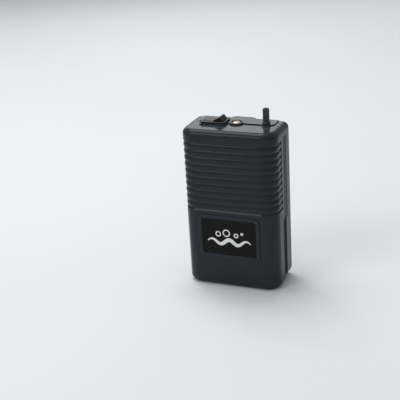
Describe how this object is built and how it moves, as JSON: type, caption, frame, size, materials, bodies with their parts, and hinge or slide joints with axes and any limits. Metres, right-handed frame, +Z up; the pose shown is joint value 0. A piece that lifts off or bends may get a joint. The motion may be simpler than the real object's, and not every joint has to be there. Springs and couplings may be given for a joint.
{
  "type": "battery aquarium air pump",
  "caption": "Pocket battery air pump for an aquarium: ribbed two-part case, rocker switch, hose nipple, sprung rim clip, motor-driven diaphragm pump inside.",
  "frame": {"origin": "centre of the bottom face of the case, at mid-depth of the case without its clip", "axes": "+Z up along the case height to the nipple, front of the case faces -Y, +X to the right seen from the front"},
  "size_m": [0.082, 0.0496, 0.1517],
  "materials": {
    "case_plastic": "satin-gloss charcoal ABS",
    "label_gloss": "high gloss black",
    "nipple_plastic": "satin charcoal",
    "nickel_screw": "worn nickel plate",
    "zinc_steel": "zinc plated",
    "switch_plastic": "gloss black nylon",
    "rocker_plastic": "gloss black",
    "brass_strip": "satin",
    "inner_plastic": "moulded",
    "cell_jacket": "printed sleeve on the cell can",
    "spring_nickel": "nickel plated",
    "motor_steel": "zinc plated, satin",
    "bronze": "sintered",
    "motor_cap_nylon": "natural nylon",
    "ferrite": "matt",
    "lamination_steel": "dull",
    "enamelled_copper": "lacquered",
    "shaft_steel": "ground",
    "acetal": "satin white",
    "rubber_black": "matt",
    "pump_plastic": "satin",
    "felt": "pressed felt",
    "wire_red": "PVC",
    "wire_black": "PVC"
  },
  "bodies": {
    "case": {"battery_divider": "inner_plastic", "case_screws": "zinc_steel", "cell_bridge_contact": "spring_nickel", "cell_plate_contact": "spring_nickel", "cell_spring_contact": "spring_nickel", "clip_bracket": "case_plastic", "clip_pin": "shaft_steel", "clip_screws": "zinc_steel", "clip_spring": "spring_nickel", "cradle_screws": "zinc_steel", "diaphragm": "rubber_black", "dry_cell_left": "cell_jacket", "dry_cell_right": "cell_jacket", "front_shell": "case_plastic", "inlet_filter": "felt", "label_plate": "label_gloss", "motor_bearings": "bronze", "motor_brushes": "brass_strip", "motor_can": "motor_steel", "motor_cradle": "inner_plastic", "motor_end_cap": "motor_cap_nylon", "motor_magnets": "ferrite", "motor_terminals": "brass_strip", "outlet_nipple": "nipple_plastic", "outlet_sleeve": "rubber_black", "pump_cover": "pump_plastic", "pump_screws": "zinc_steel", "rear_shell": "case_plastic", "switch_housing": "switch_plastic", "switch_terminals": "brass_strip", "top_screw": "nickel_screw", "valve_body": "pump_plastic", "wire_cell_to_switch": "wire_red", "wire_motor_to_cell": "wire_black", "wire_switch_to_motor": "wire_red"},
    "rocker": {"switch_rocker": "rocker_plastic"},
    "contact_lever": {"switch_contact_lever": "brass_strip"},
    "battery_cover": {"battery_door": "case_plastic"},
    "clip": {"clip_lever": "case_plastic"},
    "rotor": {"motor_shaft": "shaft_steel", "motor_armature": "lamination_steel", "motor_windings": "enamelled_copper", "motor_commutator": "bronze", "crank_disc": "acetal", "crank_pin": "shaft_steel"},
    "conrod": {"connecting_rod": "acetal", "diaphragm_clamp": "acetal", "diaphragm_screw": "zinc_steel"},
    "inlet_valve": {"inlet_flap": "rubber_black"},
    "outlet_valve": {"outlet_flap": "rubber_black"}
  },
  "joints": [
    {"name": "rocker_tilt", "type": "hinge", "parent": "case", "child": "rocker", "pos_m": [-0.0175, 0.005, 0.1372], "axis": [0, 1, 0], "range_deg": [0, 27]},
    {"name": "contact_lever_tilt", "type": "hinge", "parent": "case", "child": "contact_lever", "pos_m": [-0.0175, 0.005, 0.1282], "axis": [0, 1, 0], "range_deg": [-13.5, 0]},
    {"name": "rotor_spin", "type": "hinge", "parent": "case", "child": "rotor", "pos_m": [0, 0, 0.087], "axis": [1, 0, 0], "continuous": true, "deforming": ["diaphragm"]},
    {"name": "conrod_swing", "type": "hinge", "parent": "rotor", "child": "conrod", "pos_m": [0.016, 0, 0.0857], "axis": [1, 0, 0], "continuous": true},
    {"name": "inlet_flap_lift", "type": "hinge", "parent": "case", "child": "inlet_valve", "pos_m": [0.0131, 0, 0.1081], "axis": [0, -1, 0], "range_deg": [0, 12], "stiffness_Nm_per_rad": 0.0005, "springref_deg": -2.86},
    {"name": "outlet_flap_lift", "type": "hinge", "parent": "case", "child": "outlet_valve", "pos_m": [0.0189, 0, 0.1117], "axis": [0, -1, 0], "range_deg": [0, 12], "stiffness_Nm_per_rad": 0.0005, "springref_deg": -2.86},
    {"name": "clip_open", "type": "hinge", "parent": "case", "child": "clip", "pos_m": [0, 0.0251, 0.118], "axis": [1, 0, 0], "range_deg": [0, 8.5], "stiffness_Nm_per_rad": 0.3, "springref_deg": -14.32, "deforming": ["clip_spring"]},
    {"name": "battery_cover_pull", "type": "slide", "parent": "case", "child": "battery_cover", "axis": [0, 1, 0], "range_m": [0, 0.045]}
  ],
  "couplings": [
    {"joint": "contact_lever_tilt", "follows": "rocker_tilt", "ratio": -0.5},
    {"joint": "conrod_swing", "follows": "rotor_spin", "ratio": -1}
  ]
}
